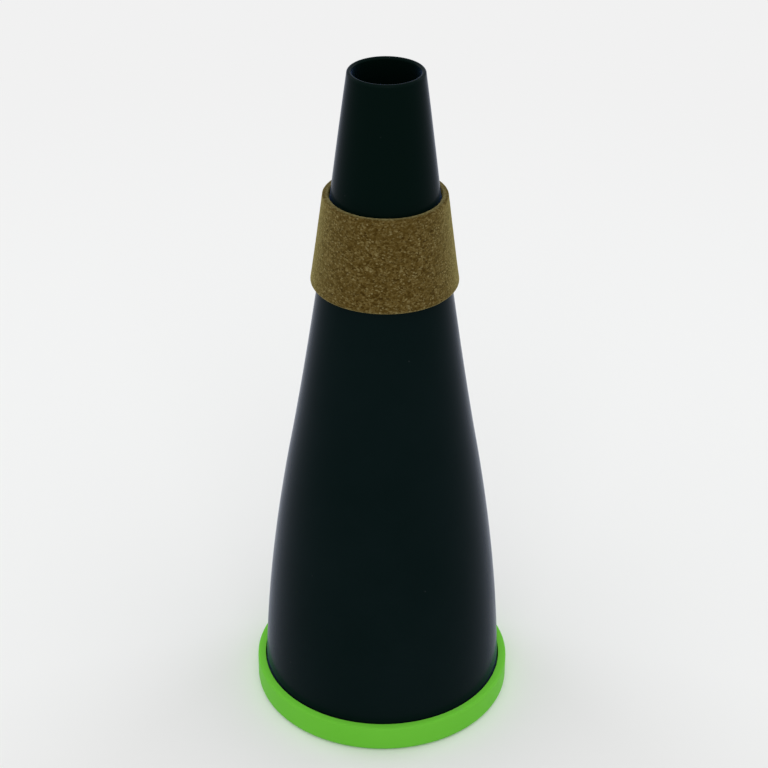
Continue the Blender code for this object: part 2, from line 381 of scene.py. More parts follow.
class Canvas:
    """The nodes of one material, group or world, added and joined in plain calls."""

    def __init__(self, tree: bpy.types.NodeTree) -> None:
        """Start on an empty node tree."""
        self.tree = tree
        self.tree.nodes.clear()

    def add(self, kind: str, sockets: dict[str | int, Any] | None = None,
            **settings: Any) -> bpy.types.Node:
        """Add a node, with its settings and its input sockets.

        Args:
            kind: The node's type, without its ShaderNode prefix.
            sockets: Input sockets by name or number. A socket is joined, and a value is set.
            settings: The node's own properties.

        Returns:
            The new node.
        """
        node = self.tree.nodes.new("ShaderNode" + kind)
        for name, value in settings.items():
            setattr(node, name, value)
        for name, value in (sockets or {}).items():
            if isinstance(value, Socket):
                self.tree.links.new(value, node.inputs[name])
            elif isinstance(value, tuple) and node.inputs[name].type == "RGBA":
                node.inputs[name].default_value = (*value, 1.0)
            else:
                node.inputs[name].default_value = value
        return node

    def effect(self, effect: Effect, **sockets: Any) -> Any:
        """The outputs of a shared group, placed with its inputs."""
        return self.add("Group", sockets, node_tree=bpy.data.node_groups[effect.value]).outputs

    def point(self) -> Socket:
        """Object coordinates."""
        return self.add("TexCoord").outputs["Object"]

    def height(self, point: Socket) -> Socket:
        """Height of a point."""
        return self.add("SeparateXYZ", {"Vector": point}).outputs["Z"]

    def squashed(self, point: Socket, share: float) -> Socket:
        """A point with its height multiplied by a share."""
        return self.add("Mapping", {"Vector": point, "Scale": (1.0, 1.0, share)}).outputs[0]

    def radius(self, point: Socket) -> Socket:
        """Distance of a point from the Z axis: the length of the point at no height."""
        flat = self.squashed(point, 0.0)
        return self.add("VectorMath", {0: flat}, operation="LENGTH").outputs["Value"]

    def calc(self, operation: str, *values: Any) -> Socket:
        """The result of a Math node on one to three values."""
        return self.add("Math", dict(enumerate(values)), operation=operation).outputs[0]

    def times(self, first: Any, second: Any) -> Socket:
        """The product of two values."""
        return self.calc("MULTIPLY", first, second)

    def spread(self, value: Any, band: Pair, ends: Pair = UNIT) -> Socket:
        """A value inside a band stretched, and kept, between two ends."""
        return self.add("MapRange", dict(enumerate((value, *band, *ends)))).outputs[0]

    def cloud(self, point: Socket, size: float, detail: float, rough: float = 0.5,
              band: Pair = (0.35, 0.65), ends: Pair = UNIT) -> Socket:
        """Soft noise of a feature size, with a band of its values stretched between two ends."""
        sockets = {"Vector": point, "Scale": 1 / size, "Detail": detail, "Roughness": rough}
        return self.spread(self.add("TexNoise", sockets).outputs["Fac"], band, ends)

    def cells(self, point: Socket, size: float) -> tuple[Socket, Socket, Socket]:
        """Random cells of one size.

        Args:
            point: The place that is looked up.
            size: Mean width of a cell.

        Returns:
            Two chances of each cell, and the distance from its middle.
        """
        cell = self.add("TexVoronoi", {"Vector": point, "Scale": 1 / size}).outputs
        chances = self.add("SeparateColor", {"Color": cell["Color"]}).outputs
        return chances["Red"], chances["Green"], cell["Distance"]

    def joints(self, point: Socket, size: float) -> Socket:
        """Distance to the joints between random cells of one size."""
        sockets = {"Vector": point, "Scale": 1 / size}
        return self.add("TexVoronoi", sockets, feature="DISTANCE_TO_EDGE").outputs["Distance"]

    def layered(self, colour: Any, *layers: tuple[Any, Any]) -> Any:
        """Lay colours over each other.

        Args:
            colour: The lowest colour.
            layers: The share and the colour of each layer, from the lowest up.

        Returns:
            The colour on top.
        """
        for share, over in layers:
            colour = self.add("Mix", {0: share, 6: colour, 7: over}, data_type="RGBA").outputs[2]
        return colour

    def ramp(self, value: Any, stops: Sequence[tuple[float, Colour]]) -> Socket:
        """A colour for each value.

        Args:
            value: What the colour is looked up by.
            stops: The place and the colour of each stop, the first and the last place first.

        Returns:
            The colour.
        """
        node = self.add("ValToRGB", {"Fac": value})
        ends = node.color_ramp.elements
        for number, (place, colour) in enumerate(stops):
            stop = ends[number] if number < 2 else ends.new(place)
            stop.position = place
            stop.color = (*colour, 1.0)
        return node.outputs["Color"]

    def bump(self, height: Any, depth: float) -> Socket:
        """A normal bent by heights from 0 to 1 that stand for a depth in metres."""
        return self.add("Bump", {"Height": height, "Distance": depth}).outputs["Normal"]

    def either(self, share: Any, first: Socket, second: Socket) -> Socket:
        """Two shaders mixed by a share of the second."""
        return self.add("MixShader", {0: share, 1: first, 2: second}).outputs[0]


class Group(Canvas):
    """The nodes of a shared effect, with named sockets."""

    def __init__(self, effect: Effect, inputs: dict[str, float | None],
                 outputs: Sequence[str]) -> None:
        """Start the group.

        Args:
            effect: The effect that it makes.
            inputs: Each input's first value, or None for a vector.
            outputs: Names of the outputs, which are all plain values.
        """
        super().__init__(bpy.data.node_groups.new(effect.value, "ShaderNodeTree"))
        sockets = self.tree.interface
        for socket, value in inputs.items():
            kind = "NodeSocketVector" if value is None else "NodeSocketFloat"
            made = sockets.new_socket(name=socket, in_out="INPUT", socket_type=kind)
            if value is not None:
                made.default_value = value
        for socket in outputs:
            sockets.new_socket(name=socket, in_out="OUTPUT", socket_type="NodeSocketFloat")
        self.given = self.tree.nodes.new("NodeGroupInput").outputs
        self.result = self.tree.nodes.new("NodeGroupOutput").inputs

    def give(self, name: str, value: Socket) -> None:
        """Join a value to an output."""
        self.tree.links.new(value, self.result[name])


def build_grain() -> None:
    """Build the fine grain of a moulded surface: a height, and a tone that drifts slowly."""
    group = Group(Effect.GRAIN, {"Point": None, "Fineness": 3000.0}, ["Height", "Tone"])
    point = group.given["Point"]
    sockets = {"Vector": point, "Scale": group.given["Fineness"], "Detail": 3.0}
    fine = group.add("TexNoise", sockets).outputs["Fac"]
    group.give("Height", group.spread(fine, (0.3, 0.7)))
    group.give("Tone", group.cloud(point, size=0.03, detail=3.0, rough=0.6))


def build_handling() -> None:
    """Build the marks of use: broad smudges, and a speck of dust in a share of its cells."""
    group = Group(Effect.HANDLING, {"Point": None, "Dust": 0.1}, ["Smudge", "Speck"])
    point = group.given["Point"]
    smudge = group.cloud(point, size=0.012, detail=4.0, rough=0.65, band=(0.4, 0.7))
    group.give("Smudge", smudge)
    largeness, order, distance = group.cells(point, size=1 / 420)
    inside = group.calc("LESS_THAN", distance, group.times(largeness, 0.09))
    chosen = group.calc("LESS_THAN", order, group.given["Dust"])
    group.give("Speck", group.times(inside, chosen))


def build_wear() -> None:
    """Build the rubbed edges: where the surface turns sharply outwards, broken up by noise."""
    group = Group(Effect.WEAR, {"Point": None}, ["Mask"])
    sharp = group.spread(group.add("NewGeometry").outputs["Pointiness"], (0.52, 0.58))
    broken = group.cloud(group.given["Point"], size=0.002, detail=4.0, rough=0.7)
    group.give("Mask", group.times(sharp, broken))


class Finish:
    """What every finish shares: a name, and a shader for the sockets that it works out."""

    name: str

    def sockets(self, canvas: Canvas) -> dict[str, Any]:
        """The shader's sockets, which each finish lays out in its own way."""
        raise NotImplementedError

    def material(self) -> Material:
        """Build the finish, on the shared effects.

        Returns:
            The material.
        """
        material = bpy.data.materials.new(self.name)
        material.use_nodes = True
        canvas = Canvas(material.node_tree)
        shader = canvas.add("BsdfPrincipled", self.sockets(canvas))
        canvas.add("OutputMaterial", {"Surface": shader.outputs["BSDF"]})
        return material


@dataclass(frozen=True)
class MouldedPlastic(Finish):
    """Moulded plastic: fine grain, faint smudges, a little dust and rubbed edges.

    Its roughness goes from clean to smudged. A rim, where there is one, is made paler in a band
    under a height and outside of a radius: painted light on its top face, lifting the shade that
    the cone above casts there.
    """

    name: str
    colour: Colour
    drifted: Colour
    rubbed: Colour
    roughness: Pair
    specular: float
    dust: Colour = (0.12, 0.12, 0.115)
    dust_share: float = 0.05
    grain_size: float = 0.00035
    grain_depth: float = 0.000004
    # rim: the colour of painted light on the rim's top face
    rim: Colour | None = None
    rim_height: float = 0.0
    rim_light_radius: float = 0.0
    rim_light_band: float = 0.0001

    def sockets(self, canvas: Canvas) -> dict[str, Any]:
        """Work out the plastic.

        Args:
            canvas: The material's nodes.

        Returns:
            The shader's sockets.
        """
        point = canvas.point()
        grain = canvas.effect(Effect.GRAIN, Point=point, Fineness=1 / self.grain_size)
        use = canvas.effect(Effect.HANDLING, Point=point, Dust=self.dust_share)
        wear = canvas.effect(Effect.WEAR, Point=point)
        colour = canvas.layered(self.colour, (grain["Tone"], self.drifted))
        if self.rim:
            # Painted light: the rim's top face is made paler, lifting the shade that the cone casts
            # on it
            band = (self.rim_height - self.rim_light_band, self.rim_height)
            outside = canvas.calc("GREATER_THAN", canvas.radius(point), self.rim_light_radius)
            rim_light = canvas.times(canvas.spread(canvas.height(point), band), outside)
            colour = canvas.layered(colour, (rim_light, self.rim))
        colour = canvas.layered(colour, (wear["Mask"], self.rubbed), (use["Speck"], self.dust))
        return {"Base Color": colour,
                "Roughness": canvas.spread(use["Smudge"], UNIT, self.roughness),
                "Normal": canvas.bump(grain["Height"], self.grain_depth),
                "Specular IOR Level": self.specular}


@dataclass(frozen=True)
class SatinBlack(Finish):
    """The cone's black: sea-grey, cool at grazing angles, painted shade on the neck, painted
    highlight on the lip.
    """

    neck: Pair
    lip_top: float
    name: str = "satin_black"
    colour: Colour = (0.0021, 0.0067, 0.0062)
    drifted: Colour = (0.0028, 0.0077, 0.0075)
    # neck_shade: painted shade, a darker colour laid over the neck
    neck_shade: Colour = (0.0009, 0.0050, 0.0033)
    # rubbed: here a painted highlight along the lip, not wear
    rubbed: Colour = (0.0023, 0.0075, 0.0057)
    dust: Colour = (0.016, 0.020, 0.021)
    dust_share: float = 0.04
    neck_shade_share: float = 0.9
    lip_highlight_band: float = 0.0008
    roughness: Pair = (0.20, 0.26)
    grain_size: float = 0.0004
    grain_depth: float = 0.000003
    specular: float = 0.016
    specular_tint: Colour = (0.80, 0.66, 1.0)
    sheen: float = 0.165
    sheen_spread: float = 0.3
    sheen_tint: Colour = (0.29, 0.46, 1.0)

    def sockets(self, canvas: Canvas) -> dict[str, Any]:
        """Work out the black.

        Args:
            canvas: The material's nodes.

        Returns:
            The shader's sockets.
        """
        point = canvas.point()
        height = canvas.height(point)
        grain = canvas.effect(Effect.GRAIN, Point=point, Fineness=1 / self.grain_size)
        use = canvas.effect(Effect.HANDLING, Point=point, Dust=self.dust_share)
        # Painted shade: the cone darkens from the cork's foot up to its top, and stays darker above
        # it
        neck = canvas.spread(height, self.neck, (0.0, self.neck_shade_share))
        # Painted highlight: a broken band just under the lip's top takes a paler colour
        band = (self.lip_top - self.lip_highlight_band, self.lip_top - self.lip_highlight_band / 2)
        broken = canvas.cloud(point, size=0.0025, detail=4.0, rough=0.7, band=(0.3, 0.6),
                              ends=(0.45, 1.0))
        lip_highlight = canvas.times(canvas.spread(height, band), broken)
        colour = canvas.layered(self.colour, (grain["Tone"], self.drifted), (neck, self.neck_shade),
                                (lip_highlight, self.rubbed), (use["Speck"], self.dust))
        return {"Base Color": colour,
                "Roughness": canvas.spread(use["Smudge"], UNIT, self.roughness),
                "Normal": canvas.bump(grain["Height"], self.grain_depth),
                "Specular IOR Level": self.specular, "Specular Tint": self.specular_tint,
                "Sheen Weight": self.sheen, "Sheen Roughness": self.sheen_spread,
                "Sheen Tint": self.sheen_tint}


@dataclass(frozen=True)
class Agglomerate(Finish):
    """Pressed cork: granules of two sizes in brown tones, strewn pale grains, and paler edges that
    are partly painted highlight.
    """

    foot: float
    top: float
    bore: float
    name: str = "cork"
    granule: float = 0.00075
    crumb: float = 0.00050
    grain: float = 0.00095
    grain_share: float = 0.75
    grain_strength: float = 0.9
    joint_strength: float = 0.5
    flatness: float = 1.5
    warp: float = 0.0003
    mottle: float = 0.006
    mottle_strength: float = 0.3
    edge_band: float = 0.0002
    edge_width: float = 0.0013
    top_strength: float = 0.8
    foot_strength: float = 0.45
    depth: float = 0.00005
    darkest: Colour = (0.0335, 0.0170, 0.0006)
    ground: Colour = (0.0690, 0.0415, 0.0056)
    light: Colour = (0.1110, 0.0745, 0.0185)
    lightest: Colour = (0.1700, 0.1300, 0.0460)
    pale_grain: Colour = (0.2450, 0.2030, 0.0900)
    # cut_edge: the paler edge colour, partly the cork's own and partly painted highlight
    cut_edge: Colour = (0.210, 0.185, 0.0900)
    sheen_tint: Colour = (1.0, 0.92, 0.34)

    def warped(self, canvas: Canvas, point: Socket) -> Socket:
        """Move the point a little by noise, so that no granule has a straight side.

        Args:
            canvas: The material's nodes.
            point: Object coordinates.

        Returns:
            The point plus twice the warp times the noise less its mean.
        """
        shift = canvas.add("TexNoise", {"Vector": point, "Scale": 1 / self.granule, "Detail": 2.0})
        centred = canvas.add("VectorMath", {0: shift.outputs["Color"], 1: (0.5, 0.5, 0.5)},
                             operation="SUBTRACT")
        scaled = canvas.add("VectorMath", {0: centred.outputs[0], "Scale": 2 * self.warp},
                            operation="SCALE")
        return canvas.add("VectorMath", {0: point, 1: scaled.outputs[0]}).outputs[0]

    def pale_and_lit_edges(self, canvas: Canvas, point: Socket) -> Socket:
        """Pick out the paler cork round the bore's top edge and along the lower edge: partly the
        cut cork's own paler colour, partly a painted highlight along these edges.

        Args:
            canvas: The material's nodes.
            point: Object coordinates.

        Returns:
            A mask of the paler cork.
        """
        height = canvas.height(point)
        high = canvas.spread(height, (self.top - self.edge_band, self.top),
                             (0.0, self.top_strength))
        low = canvas.spread(height, (self.foot + 3 * self.edge_band, self.foot),
                            (0.0, self.foot_strength))
        near = (self.bore + self.edge_width, self.bore + self.edge_width / 2)
        high = canvas.times(high, canvas.spread(canvas.radius(point), near))
        broken = canvas.cloud(point, size=self.grain, detail=3.0, ends=(0.3, 1.0))
        return canvas.times(canvas.calc("MAXIMUM", high, low), broken)

    def sockets(self, canvas: Canvas) -> dict[str, Any]:
        """Work out the cork. Its pale grains are the middles of some cells of their own pattern.

        Args:
            canvas: The material's nodes.

        Returns:
            The shader's sockets.
        """
        point = canvas.point()
        warped = canvas.squashed(self.warped(canvas, point), self.flatness)
        choice = canvas.cloud(point, size=0.0015, detail=2.0, band=(0.42, 0.58))
        tones = {2: canvas.cells(warped, self.granule)[0], 3: canvas.cells(warped, self.crumb)[0]}
        edges = {2: canvas.joints(warped, self.granule), 3: canvas.joints(warped, self.crumb)}
        tone = canvas.add("Mix", {0: choice, **tones}).outputs[0]
        edge = canvas.add("Mix", {0: choice, **edges}).outputs[0]
        _, order, distance = canvas.cells(warped, self.grain)
        chosen = canvas.spread(order, (self.grain_share, 0.0), (0.0, self.grain_strength))
        grains = canvas.times(chosen, canvas.spread(distance, (0.15, 0.42), (1.0, 0.0)))
        joints = canvas.spread(edge, (0.0, 0.10), (self.joint_strength, 0.0))
        mottled = canvas.cloud(point, size=self.mottle, detail=3.0,
                               ends=(0.0, self.mottle_strength))
        stops = [(0.0, self.darkest), (1.0, self.lightest), (0.35, self.ground), (0.72, self.light)]
        colour = canvas.layered(
            canvas.ramp(tone, stops), (joints, self.darkest), (grains, self.pale_grain),
            (mottled, self.ground), (self.pale_and_lit_edges(canvas, point), self.cut_edge))
        height = canvas.times(canvas.spread(edge, (0.0, 0.18)),
                              canvas.spread(tone, UNIT, (0.6, 1.0)))
        return {"Base Color": colour,
                "Roughness": canvas.spread(tone, UNIT, (0.95, 0.8)),
                "Normal": canvas.bump(height, self.depth),
                "Specular IOR Level": 0.08, "Sheen Weight": 0.38, "Sheen Roughness": 0.38,
                "Sheen Tint": self.sheen_tint}


@dataclass(frozen=True)
class MattRubber(Finish):
    """Matt rubber: faint cloudy bloom on a fine, slightly pitted surface."""

    name: str = "black_rubber"
    colour: Colour = (0.011, 0.011, 0.012)
    bloom: Colour = (0.026, 0.027, 0.029)
    grain_size: float = 0.0003
    grain_depth: float = 0.000008

    def sockets(self, canvas: Canvas) -> dict[str, Any]:
        """Work out the rubber.

        Args:
            canvas: The material's nodes.

        Returns:
            The shader's sockets.
        """
        point = canvas.point()
        grain = canvas.effect(Effect.GRAIN, Point=point, Fineness=1 / self.grain_size)
        use = canvas.effect(Effect.HANDLING, Point=point)
        return {"Base Color": canvas.layered(self.colour, (use["Smudge"], self.bloom)),
                "Roughness": canvas.spread(grain["Height"], UNIT, (0.7, 0.9)),
                "Normal": canvas.bump(grain["Height"], self.grain_depth),
                "Specular IOR Level": 0.35}


@dataclass(frozen=True)
class DrawnTube(Finish):
    """Drawn plastic tube: off-white, with faint lines along its length."""

    name: str = "natural_plastic"
    colour: Colour = (0.62, 0.60, 0.54)
    shade: Colour = (0.52, 0.50, 0.43)
    line_width: float = 0.0003
    line_stretch: float = 0.02
    line_strength: float = 0.5
    line_depth: float = 0.000004

    def sockets(self, canvas: Canvas) -> dict[str, Any]:
        """Work out the tube.

        Args:
            canvas: The material's nodes.

        Returns:
            The shader's sockets.
        """
        point = canvas.point()
        use = canvas.effect(Effect.HANDLING, Point=point)
        drawn = canvas.squashed(point, self.line_stretch)
        lines = canvas.cloud(drawn, size=self.line_width, detail=2.0, band=(0.3, 0.7))
        shaded = canvas.times(lines, self.line_strength)
        return {"Base Color": canvas.layered(self.colour, (shaded, self.shade)),
                "Roughness": canvas.spread(use["Smudge"], UNIT, (0.32, 0.46)),
                "Normal": canvas.bump(lines, self.line_depth),
                "Specular IOR Level": 0.5}


@dataclass(frozen=True)
class OpenFoam(Finish):
    """Open-cell foam: pores painted dark as shade between paler struts, in two sizes."""

    name: str = "grey_foam"
    pore: float = 0.0011
    small_pore: float = 0.0006
    pore_shade: Colour = (0.010, 0.0105, 0.011)
    strut: Colour = (0.115, 0.118, 0.124)
    depth: float = 0.00035

    def sockets(self, canvas: Canvas) -> dict[str, Any]:
        """Work out the foam.

        Args:
            canvas: The material's nodes.

        Returns:
            The shader's sockets.
        """
        point = canvas.point()
        large = canvas.spread(canvas.joints(point, self.pore), (0.02, 0.22))
        small = canvas.spread(canvas.joints(point, self.small_pore), (0.03, 0.3), (0.0, 0.7))
        uneven = canvas.cloud(point, size=0.004, detail=3.0, band=(0.3, 0.7), ends=(0.75, 1.0))
        # Painted shade: the pores are darkened almost to black
        opening = canvas.times(canvas.calc("MAXIMUM", large, small), uneven)
        return {"Base Color": canvas.layered(self.strut, (opening, self.pore_shade)),
                "Roughness": 0.95,
                "Normal": canvas.bump(canvas.calc("SUBTRACT", 1.0, opening), self.depth),
                "Specular IOR Level": 0.2}


@dataclass(frozen=True)
class Envelope:
    """The box of a packed round piece: its largest radius and the heights of its ends."""

    radius: float
    foot: float
    top: float

    @classmethod
    def of(cls, node: str) -> "Envelope":
        """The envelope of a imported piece, by its node's name."""
        low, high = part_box(node)
        return cls(high.x, low.z, high.z)

    def ring(self, bore: float, edge: float, step: float) -> Array:
        """Outline of a plain ring that fills the envelope.

        Args:
            bore: Its inside radius.
            edge: Size of its four round edges.
            step: About how long the steps along a straight run are.

        Returns:
            Rows of (radius, height).
        """
        outer = [(self.radius, self.foot, edge), (self.radius, self.top, edge)]
        inner = [(bore, self.top, edge), (bore, self.foot, edge)]
        return rounded(outer + inner, step)


@dataclass(frozen=True)
class Cone:
    """The moulded cone and the cork sleeve on its neck.

    The cone's radius between two stations is the cubic that keeps the radius and the taper of
    both, and below the cap's rim it is straight. The sleeve follows it at a clearance.
    """

    shell: Envelope = Envelope.of("body_shell")
    cork: Envelope = Envelope.of("cork_sleeve")
    base_taper: float = 2.1
    flank_below_cork: float = 0.0512
    flank_radius: float = 0.02616
    flank_taper: float = 10.3
    neck_radius: float = 0.018
    neck_taper: float = 8.3
    lip_radius: float = 0.01015
    lip_taper: float = 7.8
    foot_wall: float = 0.0018
    lip_wall: float = 0.0013
    foot_round: float = 0.0003
    foot_chords: int = 4
    lip_chords: int = 14
    foot_step: float = 0.001
    side_step: float = 0.0014
    inside_step: float = 0.0028
    cork_thickness: float = 0.0018
    cork_edge: float = 0.00045
    cork_chords: int = 5
    cork_turn: int = 600
    cork_step: float = 0.00024
    cork_end_step: float = 0.0003
    cork_bore_step: float = 0.0011
    cork_relief: float = 0.00005
    granule: float = 0.0010
    granule_seed: int = 11
    swell: float = 6 * granule
    swell_seed: int = 23

    def stations(self) -> Array:
        """Rows of (height, radius, taper) that the cone's outside passes through, foot first."""
        return np.array([
            (BaseCap.rim_height, self.shell.radius, self.base_taper),
            (self.cork.foot - self.flank_below_cork, self.flank_radius, self.flank_taper),
            (self.cork.foot, self.neck_radius, self.neck_taper),
            (self.shell.top, self.lip_radius, self.lip_taper),
        ])

    def outside(self, heights: Array | float) -> Array | float:
        """Outside radius of the cone at each height.

        With s the share of the way between two stations, the radius is the sum of the low
        radius times 2s^3 - 3s^2 + 1, the low slope times s^3 - 2s^2 + s, the high radius times
        3s^2 - 2s^3 and the high slope times s^3 - s^2.

        Args:
            heights: Heights in the row frame.

        Returns:
            The radius at each height.
        """
        places, radii, tapers = self.stations().T
        slopes = -np.tan(np.radians(tapers))
        span = np.clip(np.searchsorted(places, heights) - 1, 0, len(places) - 2)
        length = places[span + 1] - places[span]
        s = np.clip((heights - places[span]) / length, 0, 1)
        return ((2 * s ** 3 - 3 * s ** 2 + 1) * radii[span]
                + (s ** 3 - 2 * s ** 2 + s) * slopes[span] * length
                + (3 * s ** 2 - 2 * s ** 3) * radii[span + 1]
                + (s ** 3 - s ** 2) * slopes[span + 1] * length)

    def inside(self, heights: Array | float) -> Array | float:
        """Inside radius of the cone: its wall thins evenly from the foot to the lip."""
        share = (heights - self.shell.foot) / (self.shell.top - self.shell.foot)
        return self.outside(heights) - self.foot_wall - (self.lip_wall - self.foot_wall) * share

    def cork_bore(self, heights: Array | float) -> Array | float:
        """Inside radius of the sleeve at each height."""
        return self.outside(heights) + CLEARANCE

    def shell_outline(self) -> Array:
        """Outline of the cone: up its outside, over the round lip and down its inside.

        Returns:
            Rows of (radius, height).
        """
        size = self.lip_wall / 2
        tilt = math.radians(self.lip_taper)
        side_top = self.shell.top - size + size * math.sin(tilt)
        lip_centre = (self.outside(side_top) - size * math.cos(tilt), self.shell.top - size)
        edge = self.foot_round
        foot = self.shell.foot + edge
        up = np.concatenate([evenly(foot, BaseCap.rim_height, self.foot_step)[1:-1],
                             evenly(BaseCap.rim_height, side_top, self.side_step)[:-1]])
        down = evenly(side_top - 3 * size, foot, self.inside_step)
        foot_bore = self.inside(self.shell.foot)
        return np.concatenate([
            arc((self.shell.radius - edge, foot), edge, -90, 0, self.foot_chords),
            rows(self.outside(up), up),
            arc(lip_centre, size, self.lip_taper, 180 + self.lip_taper, self.lip_chords),
            rows(self.inside(down), down),
            arc((foot_bore + edge, foot), edge, 180, 270, self.foot_chords)[1:],
        ])

    def cork_outline(self) -> Array:
        """Outline of the sleeve: an even thickness on the cone, with softly rounded edges.

        Returns:
            Rows of (radius, height).
        """
        edge = self.cork_edge
        low, high = self.cork.foot, self.cork.top
        outer_low = self.cork_bore(low + edge) + self.cork_thickness - edge
        outer_high = self.cork_bore(high - edge) + self.cork_thickness - edge
        inner_high = self.cork_bore(high - edge) + edge
        up = evenly(low + edge, high - edge, self.cork_step)[1:-1]
        down = evenly(high - edge, low, self.cork_bore_step)[1:]
        across_top = evenly(outer_high, inner_high, self.cork_end_step)[1:-1]
        across_foot = evenly(self.cork_bore(low), outer_low, self.cork_end_step)[1:-1]
        return np.concatenate([
            arc((outer_low, low + edge), edge, -90, 0, self.cork_chords),
            rows(self.cork_bore(up) + self.cork_thickness, up),
            arc((outer_high, high - edge), edge, 0, 90, self.cork_chords),
            rows(across_top, high),
            arc((inner_high, high - edge), edge, 90, 180, self.cork_chords),
            rows(self.cork_bore(down), down),
            rows(across_foot, low),
        ])

    def cork_surface(self, points: Array) -> Array:
        """Relief of the sleeve: granules stand up to their depth above the joints.

        The height falls with the square of the distance to the nearest granule's middle, and
        a slow noise makes the sleeve slightly uneven.

        Args:
            points: Places on the sleeve, xyz last.

        Returns:
            How far each point moves outwards, which is never above nought.
        """
        distance = cell_distance(points, self.granule, self.granule_seed)
        uneven = soft_noise(points, self.swell, self.swell_seed)
        return self.cork_relief * (np.clip(1 - distance ** 2, 0, 1) + uneven - 2)

    def build(self, finishes: Finishes) -> None:
        """Build and dress the cone and its sleeve.

        Args:
            finishes: The material of each slot.
        """
        shell = turned_piece("moulded_cone", self.shell_outline(), WIDE_TURN)
        settle(shell, "body_shell", Slot.BLACK_PLASTIC, Body.CONE, finishes)
        cork = turned_piece("cork_band", self.cork_outline(), self.cork_turn, self.cork_surface)
        settle(cork, "cork_sleeve", Slot.CORK, Body.CONE, finishes)


@dataclass(frozen=True)
class Vent:
    """The vent tube, the flanged bush at its foot and the collar near its top.

    The hole is the one that the tube passes through in the pieces round it.
    """

    tube: Envelope = Envelope.of("vent_tube")
    bush: Envelope = Envelope.of("vent_bush")
    collar: Envelope = Envelope.of("retaining_collar")
    bore: float = 0.002
    hole: float = tube.radius + CLEARANCE
    bush_wall: float = 0.001
    bush_flange: float = 0.0012
    cut_edge: float = 0.00025
    soft_edge: float = 0.0003
    collar_edge: float = 0.0006
    step: float = 0.002
    bush_step: float = 0.001

    def bush_outline(self) -> Array:
        """Outline of the bush: a sleeve in the cap's boss under a flange on top of it.

        Returns:
            Rows of (radius, height).
        """
        sleeve = self.hole + self.bush_wall
        under = self.bush.top - self.bush_flange
        edge = self.soft_edge
        return rounded([
            (sleeve, self.bush.foot, edge), (sleeve, under, edge / 2),
            (self.bush.radius, under, edge), (self.bush.radius, self.bush.top, edge),
            (self.hole, self.bush.top, edge), (self.hole, self.bush.foot, edge),
        ], self.bush_step)

    def build(self, finishes: Finishes) -> None:
        """Build and dress the tube, the bush and the collar.

        Args:
            finishes: The material of each slot.
        """
        outline = self.tube.ring(self.bore, self.cut_edge, self.step)
        tube = turned_piece("vent_pipe", outline, NARROW_TURN)
        settle(tube, "vent_tube", Slot.NATURAL_PLASTIC, Body.BASE, finishes)
        bush = turned_piece("vent_grommet", self.bush_outline(), NARROW_TURN)
        settle(bush, "vent_bush", Slot.BLACK_RUBBER, Body.BASE, finishes)
        outline = self.collar.ring(self.hole, self.collar_edge, self.step)
        collar = turned_piece("push_collar", outline, NARROW_TURN)
        settle(collar, "retaining_collar", Slot.BLACK_RUBBER, Body.BASE, finishes)


@dataclass(frozen=True)
class BaseCap:
    """The green cap that the cone stands in, and the rubber ring that seals the two."""

    cap: Envelope = Envelope.of("base_cap")
    seal: Envelope = Envelope.of("cap_seal")
    rim_height: float = 0.008
    rim_wall: float = 0.0023
    floor: float = 0.002
    recess: float = 0.001
    lower_round: float = 0.0014
    rim_round: float = 0.0005
    rest_ring: float = 0.005
    spigot_wall: float = 0.0014
    seal_proud: float = 0.0003
    seal_section: float = 0.0016
    seal_chords: int = 28
    boss_wall: float = 0.002
    small_round: float = 0.00015
    inner_round: float = 0.0003
    step: float = 0.0012

    def cap_outline(self) -> Array:
        """Outline of the cap, from the ring that it stands on up round its rim and inwards.

        Returns:
            Rows of (radius, height).
        """
        floor_top = self.recess + self.floor
        socket = self.cap.radius - self.rim_wall
        spigot = self.seal.radius - self.seal_proud
        groove = self.seal.radius - self.seal_section - CLEARANCE
        groove_low, groove_high = self.seal.foot - CLEARANCE, self.seal.top + CLEARANCE
        cup = groove - self.spigot_wall
        boss = Vent.bush.radius
        bore = boss - self.boss_wall
        boss_top = Vent.bush.top - Vent.bush_flange - CLEARANCE
        ring_inside = self.cap.radius - self.lower_round - self.rest_ring
        small, soft = self.small_round, self.inner_round
        return rounded([
            (ring_inside, 0.0, soft), (self.cap.radius, 0.0, self.lower_round),
            (self.cap.radius, self.rim_height, self.rim_round), (socket, self.rim_height, small),
            (socket, floor_top, soft), (spigot, floor_top, small), (spigot, groove_low, small),
            (groove, groove_low, small), (groove, groove_high, small),
            (spigot, groove_high, small), (spigot, self.cap.top, soft),
            (cup, self.cap.top, small), (cup, floor_top, soft), (boss, floor_top, soft),
            (boss, boss_top, small), (bore, boss_top, small), (bore, floor_top, small),
            (Vent.hole, floor_top, small), (Vent.hole, self.recess, soft),
            (ring_inside, self.recess, soft),
        ], self.step)

    def build(self, finishes: Finishes) -> None:
        """Build and dress the cap and its seal.

        Args:
            finishes: The material of each slot.
        """
        cap = turned_piece("foot_cap", self.cap_outline(), WIDE_TURN)
        settle(cap, "base_cap", Slot.GREEN_PLASTIC, Body.BASE, finishes)
        size = self.seal_section / 2
        centre = (self.seal.radius - size, (self.seal.foot + self.seal.top) / 2)
        outline = arc(centre, size, 0, 360, self.seal_chords)[:-1]
        seal = turned_piece("seal_ring", outline, WIDE_TURN)
        settle(seal, "cap_seal", Slot.BLACK_RUBBER, Body.BASE, finishes)


